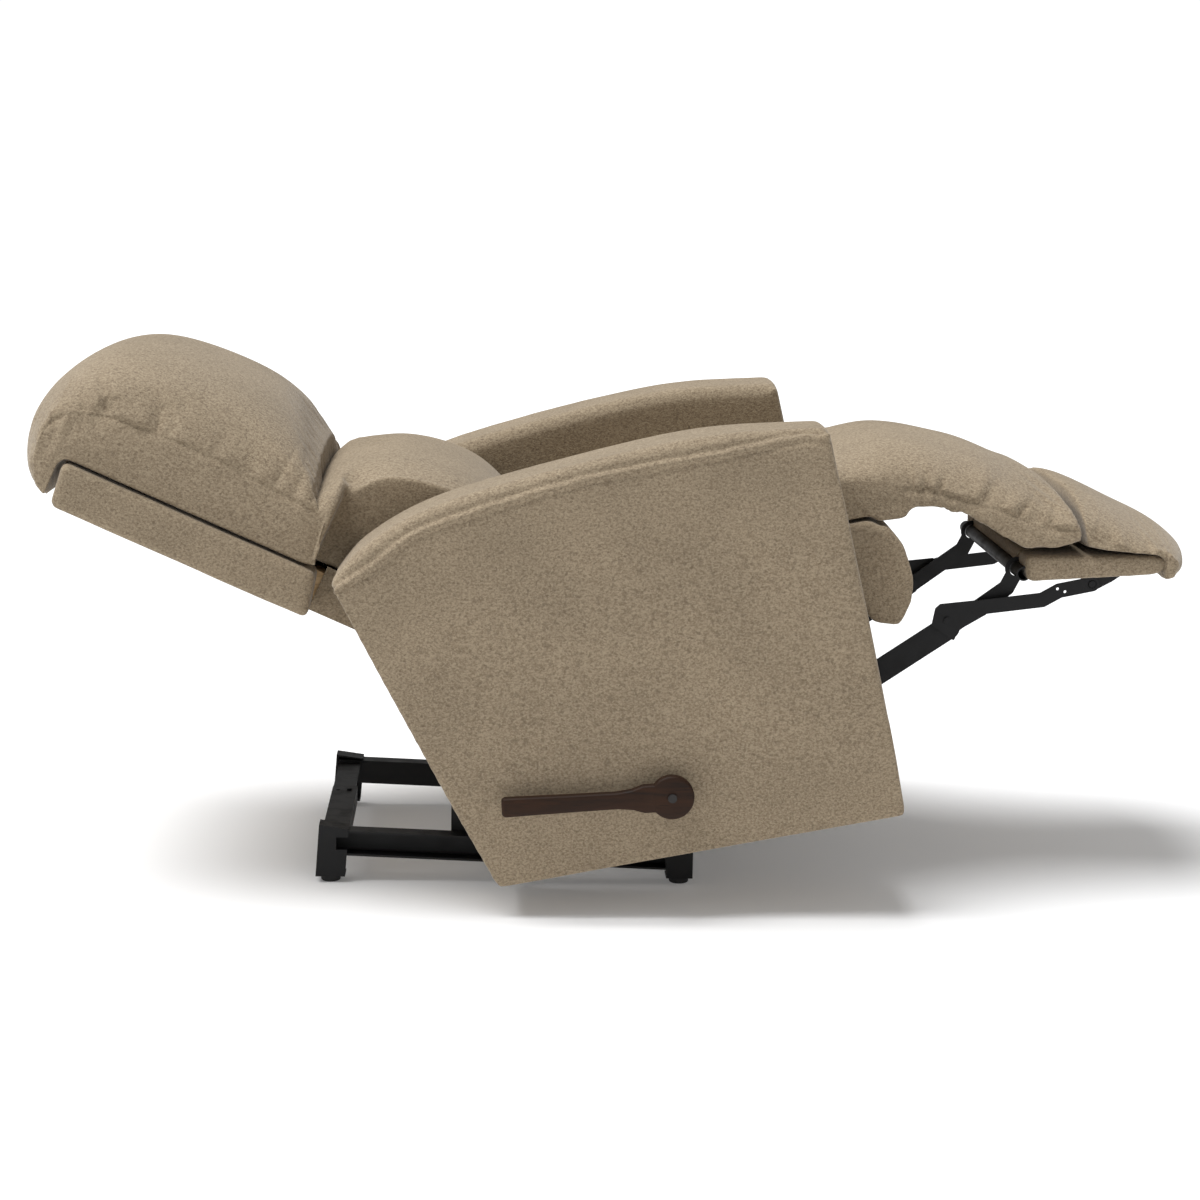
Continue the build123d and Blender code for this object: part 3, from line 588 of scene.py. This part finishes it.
def back_cushions():
    """Head and lumbar cushions, with the lumbar cushion's shoulders over the arms."""
    head_front = [(160, 172, 98, 168), (176, 210, 99, 207), (202, 294, 104, 291),
                  (203, 390, 105, 383), (187, 478, 100, 460), (151, 532, 86, 511),
                  (110, 560, 68, 530), (58, 580, 44, 541), (8, 583, 14, 540),
                  (-30, 568, -16, 529), (-44, 544, -36, 514)]
    head_rear = [(-44, 544, -36, 514), (-42, 501, -40, 503), (21, 501, 21, 503),
                 (21, 172, 21, 128), (60, 172, 60, 128), (96, 172, 92, 130), (160, 172, 98, 168)]
    head = piece_from("head_cushion", [crowned(*pattern(head_front, head_rear), HEAD_HALF,
                                               2.4, 1.75, 44)], MEDIUM)

    def against_frame(co):
        rear = 1 - step(co[:, 0], 24, 34)
        return rear * (1 - step(co[:, 2], 500, 512))

    swell(head, 12, against_frame, shrink=6)
    subdivide(head)
    for _, s in SIDES:
        y = s * HEAD_HALF
        seam = [(92, y, 150), (96, y, 205), (103, y, 289), (105, y, 351), (102, y, 420),
                (98, y, 460), (84, y, 512), (60, y, 534), (40, y, 540)]
        seam = [(b, y + s * 2, a) for b, y, a in seam]
        crown = lambda co: step(co[:, 0] + 0.55 * np.clip(co[:, 2] - 470, 0, 80), 98, 106)
        gather(head, seam, crown, 14.0, 62, 30, 11 + s, lambda t: 0.4 + 0.9 * step(t, 0.4, 0.9))
        end = [(40, y * 0.995, 545), (5, y * 0.99, 545), (-22, y * 0.985, 530)]
        gather(head, end, lambda co: step(co[:, 2], 530, 545), 12.0, 40, 24, 31 + s)
        sew(head, seam, 2.6, 3.2)
    settle(head, 3.0, 120, 5, lambda co: step(co[:, 0], 40, 90))
    cover(head, BACK_PLACE, "back", ["head_pillow"], tweed_back)

    front = [(157, 168, 97, 164), (176, 139, 104, 139), (193, 98, 158, 98), (205, 54, 178, 54),
             (212, 0, 186, 0), (206, -50, 184, -50), (181, -110, 164, -110)]
    rear = [(181, -110, 164, -110), (21, -110, 21, -110), (21, 168, 21, 164), (157, 168, 97, 164)]
    body = crowned(*pattern(front, rear), LUMBAR_HALF, 3.2, 2.0)
    shoulder_front = [(157, 168, 95, 164), (174, 144, 94, 150), (160, 134, 86, 136)]
    shoulder_rear = [(160, 134, 86, 136), (21, 134, 21, 136), (21, 168, 21, 164),
                     (157, 168, 95, 164)]
    shoulders = crowned(*pattern(shoulder_front, shoulder_rear), SHOULDER_HALF, 2.4, 1.75)
    lumbar = piece_from("lumbar_cushion", [body, shoulders], MEDIUM)

    def held(co):
        rear = 1 - step(co[:, 0], 24, 34)
        foot = 1 - step(co[:, 2], -108, -90)
        arms = step(np.abs(co[:, 1]), 250, 258) * (1 - step(co[:, 2], 138, 150))
        return np.clip(rear + foot + arms, 0, 1)

    swell(lumbar, 10, held, shrink=5)
    subdivide(lumbar)
    settle(lumbar, 3.0, 110, 9, lambda co: step(co[:, 0], 60, 120))
    cover(lumbar, BACK_PLACE, "back", ["lumbar_pillow"], tweed_back)


def back_panels():
    """Side wings of the back and the panel across its rear."""
    for side, s in SIDES:
        outline = [(-44.5, 111), (18, 125), (18, 497), (-44.5, 490)]
        middle = s * WING_MIDDLE
        wing = piece_from(f"wing_{side}", [boxed(outline, middle - WING_HALF, middle + WING_HALF,
                                                 (9.0, 9.0), 4)], FINE)
        settle(wing, 1.6, 60, 40 + s)
        subdivide(wing)
        y = s * WING_OUTER
        for line in ([(13, y, 130), (13, y, 492)], [(-40, y, 116), (-40, y, 486)]):
            sew(wing, [(b, y, a) for b, y, a in line], 0.9, 2.6)
        cover(wing, BACK_PLACE, "back", [f"back_wing_{side}"], tweed_back)
    outline = [(-45, -112), (-31, -112), (-31, 489), (-45, 489)]
    panel = piece_from("outside_back_panel", [boxed(outline, -261, 261, (6.0, 6.0), 2)], FINE)
    subdivide(panel)
    frame_line = [(-45, -248, -98), (-45, 248, -98), (-45, 248, 476), (-45, -248, 476),
                  (-45, -248, -98)]
    sew(panel, frame_line, 1.4, 3.0)
    cover(panel, BACK_PLACE, "back", ["outside_back"], tweed_back)


def post_covers():
    """Fabric drawn over the posts' sides below the wings, cut out round the pivot bolt."""
    for side, s in SIDES:
        bpy.ops.object.select_all(action="DESELECT")
        bpy.ops.mesh.primitive_cube_add(size=1, location=(-12, s * POST_SIDE, 21))
        flap = bpy.context.object
        flap.scale = (66, 1.8, 186)
        bpy.ops.object.transform_apply(location=True, rotation=True, scale=True)
        bpy.ops.object.mode_set(mode="EDIT")
        bpy.ops.mesh.select_all(action="SELECT")
        bpy.ops.mesh.subdivide(number_cuts=12)
        bpy.ops.object.mode_set(mode="OBJECT")
        bore(flap, (0, s * POST_SIDE, 0), 11, 30, 40)
        flap.name = flap.data.name = f"post_cover_{side}"
        flap.data.transform(BACK_PLACE)
        flap.data.materials.append(tweed_back)
        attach(flap, "back")


# ---------- arms ----------

ARM_CROWN = [(541, 538), (375, 556.5), (208, 549.5), (14, 528.5), (-95, 492.5), (-151, 450)]
ARM_WELT = [(-150, 439), (-94, 462), (-26, 496), (62, 511.5), (140, 522), (231, 529),
            (311, 529), (407, 531), (487, 534), (546, 533)]


def arms():
    """Padded arms: a rolled top, a piped welt along the outer side and flat panels."""
    outline = np.vstack([through(ARM_CROWN, 14), [(-3, -2.5), (563, -2.5)]])

    def roll(radius):
        return lambda normal: 2.5 + (radius - 2.5) * step(normal[:, 1], 0.15, 0.75)

    for side, s in SIDES:
        edges = (roll(30), roll(24)) if s < 0 else (roll(24), roll(30))
        y0, y1 = sorted((s * (ARM_INNER + 0.8), s * (ARM_OUTER - 1.5)))
        arm = piece_from(f"arm_{side}", [boxed(outline, y0, y1, edges, 3)], MEDIUM)
        subdivide(arm)
        co, out = points_of(arm) / MM, normals_of(arm)
        outer = step(co[:, 1] * s, ARM_OUTER - 50, ARM_OUTER - 12)
        welt = [(u, s * (ARM_OUTER - 1.5), v) for u, v in through(ARM_WELT, 6)]
        distance, along, _ = near(co, welt)
        height = np.interp(co[:, 0], [u for u, _ in ARM_WELT], [v for _, v in ARM_WELT])
        above = step(co[:, 2] - height, 0, 6)
        push = outer * (3.4 * np.exp(-(distance / 3.6) ** 2)
                        - 1.8 * np.exp(-((distance - 8.5) / 2.6) ** 2)
                        + 2.2 * above * step(distance, 8, 20) * (1 - step(distance, 26, 44)))
        panel = outer * (1 - above) * step(distance, 20, 160)
        push += 2.0 * panel * step(co[:, 2], 0, 120)
        push += outer * above * 0.9 * ripple(along, 34, 60 + s) * np.exp(-(distance / 16) ** 2)
        front = step(out[:, 0], 0.5, 0.95) * step(co[:, 2], 20, 90)
        across = (co[:, 1] * s - (ARM_INNER + ARM_OUTER) / 2) / 77
        push += 2.2 * front * np.clip(1 - across ** 2, 0, 1)
        set_points(arm, (co + out * push[:, None]) * MM)
        settle(arm, 1.2, 90, 50 + s)
        cover(arm, SEAT_PLACE, "seat_frame", [f"arm_cover_{side}"], tweed)


# ---------- seat and leg rest ----------

def seat_pads():
    """Seat pad and the rounded apron in front of it."""
    top = [(126, 440, 130, 430), (140, 464, 140, 448), (170, 470, 166, 452),
           (300, 471, 300, 450), (420, 472, 420, 450), (490, 474, 490, 449),
           (540, 477, 540, 445), (551, 477, 551, 444)]
    under = [(551, 477, 551, 444), (551, 390, 551, 390), (146, 390, 146, 390),
             (126, 440, 130, 430)]
    seat = piece_from("seat_pad", [crowned(*pattern(top, under), SEAT_HALF, 4.0, 2.2)], COARSE)

    def held(co):
        low = 1 - step(co[:, 2], 400, 430)
        ends = step(co[:, 0], 530, 546) + 1 - step(co[:, 0], 128, 150)
        sides = step(np.abs(co[:, 1]), 250, 258)
        return np.clip(low + ends + sides, 0, 1)

    swell(seat, 8, held, shrink=5)
    subdivide(seat)
    settle(seat, 2.0, 130, 70)
    cover(seat, SEAT_PLACE, "seat_frame", ["seat_cushion"], tweed)

    outline = [(548, 383), (596, 383), (606, 371.5), (619, 370.5), (636, 339), (642, 290),
               (634, 258), (612, 227.5), (575, 239), (550, 297)]
    apron = piece_from("front_apron_pad", [boxed(outline, -APRON_HALF, APRON_HALF,
                                                 (3.5, 3.5), 3)], FINE)
    subdivide(apron)
    for _, s in SIDES:
        y = s * 266
        end = [(612, y, 366), (630, y, 338), (635.5, y, 290), (628, y, 260), (607, y, 233)]
        sew(apron, end, 1.6, 2.8)
    settle(apron, 1.4, 80, 74)
    cover(apron, SEAT_PLACE, "seat_frame", ["front_apron"], tweed)


def chaise():
    """The pad that carries on from the seat and bends down in front, in a fixed shape that does
    not follow the leg rest.
    """
    top = [(552.5, 477, 552.5, 444), (590, 478, 590, 438), (626, 481, 622, 428),
           (653, 482, 655, 416), (696, 471, 692, 408), (739, 452, 732, 385),
           (781, 433, 765, 370), (822, 404, 806, 344), (855, 388, 848, 326),
           (880, 374, 876, 319), (888, 350, 887, 314)]
    under = [(888, 350, 887, 314), (888, 285, 886, 307), (840, 291, 842, 301),
             (808, 299, 806, 304), (790, 318, 779, 321), (750, 354, 754, 347),
             (709, 378, 727, 366), (672, 387, 690, 384), (650, 381, 655, 392),
             (645, 376, 645, 374), (606, 377, 606, 376), (598, 386, 598, 386),
             (552.5, 386, 552.5, 386), (552.5, 477, 552.5, 444)]
    pad = piece_from("chaise_cushion", [crowned(*pattern(top, under), SEAT_HALF, 3.4, 2.0)],
                     MEDIUM)
    low_line = [(u, v) for _, _, u, v in under[1:10]][::-1]

    def held(co):
        low = np.interp(co[:, 0], [u for u, _ in low_line], [v for _, v in low_line])
        return np.clip(1 - step(co[:, 2] - low, 8, 26) + 1 - step(co[:, 0], 556, 570), 0, 1)

    swell(pad, 10, held, shrink=4)
    subdivide(pad)
    for _, s in SIDES:
        y = s * (SEAT_HALF - 1)
        seam = [(649, y, 414), (682, y, 409), (732, y, 385), (765, y, 370), (795, y, 352),
                (820, y, 334), (854, y, 322), (884, y, 315)]
        line = np.array(seam)
        above = lambda co: step(co[:, 2] - np.interp(co[:, 0], line[:, 0], line[:, 2]), 0, 5)
        gather(pad, seam, above, 12.0, 40, 19, 80 + s)
        lower = [(655, y, 392), (690, y, 384), (727, y, 366), (754, y, 347), (779, y, 321),
                 (806, y, 304), (842, y, 301), (886, y, 307)]
        gather(pad, lower, lambda co: np.ones(len(co)), 8.0, 14, 20, 90 + s)
        sew(pad, seam, 3.0, 3.4)
    settle(pad, 2.5, 90, 84, lambda co: step(co[:, 2], 330, 400))
    cover(pad, SEAT_PLACE, "seat_frame", ["chaise_bridge", "chaise_pad"], tweed,
          "leg_rest")


def foot_end():
    """The pad at the tip of the leg rest, bowed forward in the middle of its front edge."""
    top = [(892, 345, 892, 318), (900, 364, 900, 305), (920, 356, 918, 291),
           (949, 338, 940, 276), (990, 308, 965, 269), (1032, 279, 990, 263),
           (1058, 250, 1010, 259), (1066, 232, 1019, 250), (1061, 219, 1017, 239),
           (1046, 214, 1008, 230), (1018, 215, 997, 227)]
    under = [(1018, 215, 997, 227), (1010, 217, 996, 228), (1010, 256, 1007, 255),
             (988, 263, 988, 262), (961, 269, 961, 268), (917, 277, 917, 281),
             (892, 281, 892, 294), (892, 345, 892, 318)]
    bow_from, side_tip, bow = 930, 1019, 47
    loops, stations = crowned_loops(*pattern(top, under), SEAT_HALF, 3.2, 2.0)
    for loop, y in zip(loops, stations):
        reach = side_tip + bow * (1 - (y / SEAT_HALF) ** 2) - bow_from
        tip = np.clip(loop[:, 0] - bow_from, 0, None)
        loop[:, 0] += tip * (reach / tip.max() - 1)
    pad = piece_from("foot_cushion", [skin(loops, stations)], FINE)

    def held(co):
        board = np.interp(co[:, 0], [892, 961, 988, 1009, 1011], [281, 268, 262, 256, 200])
        near_board = 1 - step(co[:, 2] - board, 4, 14)
        return np.clip(near_board + 1 - step(co[:, 0], 892, 900), 0, 1)

    swell(pad, 8, held, shrink=4)
    subdivide(pad)
    for _, s in SIDES:
        y = s * (SEAT_HALF - 1)
        seam = [(894, y, 310), (917, y, 291), (940, y, 277), (965, y, 270), (1003, y, 262)]
        line = np.array(seam)
        above = lambda co: step(co[:, 2] - np.interp(co[:, 0], line[:, 0], line[:, 2]), 0, 4)
        gather(pad, seam, above, 11.0, 30, 18, 100 + s)
        sew(pad, seam, 2.0, 2.8)
        sew(pad, [(1003, y, 262), (1001, y, 228)], 2.0, 2.6)
    settle(pad, 2.0, 80, 104, lambda co: step(co[:, 2], 270, 320))
    cover(pad, SEAT_PLACE, "leg_rest", ["foot_pillow"], tweed)


def covered_board():
    """Fabric-covered board under the leg rest, slotted for the ends of the rear links."""
    outline = [(804, 291.5), (985, 259), (1004.5, 252.5), (1003, 236.5), (982, 231.5), (801, 254)]
    board = piece_from("covered_foot_board", [boxed(outline, -BOARD_HALF, BOARD_HALF,
                                                    (7.0, 7.0), 4)], FINE)
    for _, s in SIDES:
        centre = Vector((SLOT_U, s * SLOT_Y, SLOT_V)) * MM
        bore(board, centre, SLOT_RADIUS * MM, 10 * MM, 48)
    cover(board, SEAT_PLACE, "leg_rest", ["foot_board"], tweed)
    only(board)
    bpy.ops.object.shade_smooth_by_angle(angle=math.radians(50))


# ---------- lever ----------

def lever():
    """Walnut lever: domed round head, waisted neck and a grip that thickens to the rear."""
    bpy.ops.object.select_all(action="DESELECT")
    bpy.ops.mesh.primitive_cylinder_add(vertices=72, radius=30, depth=18,
                                        location=(0, LEVER_Y, 0), rotation=(math.pi / 2, 0, 0))
    head = bpy.context.object
    bpy.ops.object.transform_apply(location=True, rotation=True, scale=True)
    rims = head.modifiers.new("rims", "BEVEL")
    rims.width, rims.segments, rims.limit_method = 4.5, 4, "ANGLE"
    bpy.ops.object.modifier_apply(modifier="rims")
    bpy.ops.object.select_all(action="DESELECT")
    bpy.ops.mesh.primitive_cube_add(size=1, location=(28, LEVER_Y, 0))
    grip = bpy.context.object
    grip.scale = (20, 16.5, 38)
    bpy.ops.object.transform_apply(location=True, rotation=True, scale=True)
    bpy.ops.object.mode_set(mode="EDIT")
    bpy.ops.mesh.select_mode(type="FACE")
    bpy.ops.mesh.select_all(action="DESELECT")
    bpy.ops.object.mode_set(mode="OBJECT")
    end = max(grip.data.polygons, key=lambda p: p.center.x)
    end.select = True
    bpy.ops.object.mode_set(mode="EDIT")
    for reach, width in ((16, 0.72), (20, 0.83), (60, 1.04), (60, 1.07), (30, 1.05), (6, 0.9)):
        bpy.ops.mesh.extrude_region_move(TRANSFORM_OT_translate={"value": (reach, 0, 0)})
        bpy.ops.transform.resize(value=(1, 1, width), center_override=(0, LEVER_Y, 0))
    bpy.ops.mesh.select_all(action="SELECT")
    bpy.ops.mesh.normals_make_consistent(inside=False)
    bpy.ops.object.mode_set(mode="OBJECT")
    soft = grip.modifiers.new("soft edges", "BEVEL")
    soft.width, soft.segments, soft.limit_method, soft.angle_limit = 4.0, 4, "ANGLE", 0.7
    bpy.ops.object.modifier_apply(modifier="soft edges")
    combine(head, grip, "UNION")
    head.name = head.data.name = "pull_lever"
    head.data.transform(SEAT_PLACE @ turned(LEVER_U, LEVER_V, LEVER_TURN))
    head.data.materials.clear()
    head.data.materials.append(walnut)
    bpy.ops.object.shade_smooth_by_angle(angle=math.radians(40))
    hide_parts("lever")
    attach(head, "lever_shaft")


# ---------- studio ----------

def studio():
    """White floor that glows faintly as painted light, backdrop, one broad lamp high above, and
    the camera.
    """
    bpy.ops.object.select_all(action="DESELECT")
    bpy.ops.mesh.primitive_plane_add(size=40, location=(0, 0, 0))
    floor = bpy.context.object
    floor.name = "studio_floor"
    # The paper glows faintly: painted light that lightens the chair's shadow on the floor and
    # lights the chair's lower parts a little.
    paper = Finish("floor_paper", Roughness=0.9, Specular_IOR_Level=0.1,
                   Emission_Color=(1, 1, 1, 1), Emission_Strength=0.11)
    place = paper.node("ShaderNodeTexCoord", output="Object")
    mottle = paper.node("ShaderNodeTexNoise", {}, {"Vector": place, "Scale": 3, "Detail": 2})
    paper.feed("Base Color", paper.blend_colour(mottle, (0.8, 0.8, 0.8, 1),
                                                (0.82, 0.82, 0.82, 1)))
    floor.data.materials.append(paper.material)

    world = bpy.data.worlds.new("studio")
    scene.world = world
    world.use_nodes = True
    nodes, links = world.node_tree.nodes, world.node_tree.links
    sky = nodes["Background"]
    sky.inputs["Color"].default_value = (1, 1, 1, 1)
    sky.inputs["Strength"].default_value = SKY
    backdrop = nodes.new("ShaderNodeBackground")
    backdrop.inputs["Strength"].default_value = BACKDROP
    seen = nodes.new("ShaderNodeLightPath")
    mix = nodes.new("ShaderNodeMixShader")
    links.new(seen.outputs["Is Camera Ray"], mix.inputs[0])
    links.new(sky.outputs[0], mix.inputs[1])
    links.new(backdrop.outputs[0], mix.inputs[2])
    links.new(mix.outputs[0], nodes["World Output"].inputs[0])

    lamp = bpy.data.lights.new("broad_overhead_sun", "SUN")
    lamp.energy, lamp.angle, lamp.color = LAMP, math.radians(LAMP_SPREAD), (0.985, 0.99, 1)
    holder = bpy.data.objects.new("broad_overhead_sun", lamp)
    scene.collection.objects.link(holder)
    holder.location = (-1, 0.5, 3)
    holder.rotation_euler = Vector(LAMP_DIRECTION).to_track_quat("-Z", "Y").to_euler()

    lens = bpy.data.cameras.new("camera")
    lens.lens, lens.sensor_width = CAMERA_LENS, CAMERA_SENSOR
    camera = bpy.data.objects.new("camera", lens)
    scene.collection.objects.link(camera)
    camera.location = CAMERA_PLACE
    camera.rotation_euler = [math.radians(a) for a in CAMERA_TURN]
    scene.camera = camera
    scene.view_settings.view_transform = "Standard"


finish_cad_nodes()
back_cushions()
back_panels()
post_covers()
arms()
seat_pads()
chaise()
foot_end()
covered_board()
lever()
studio()
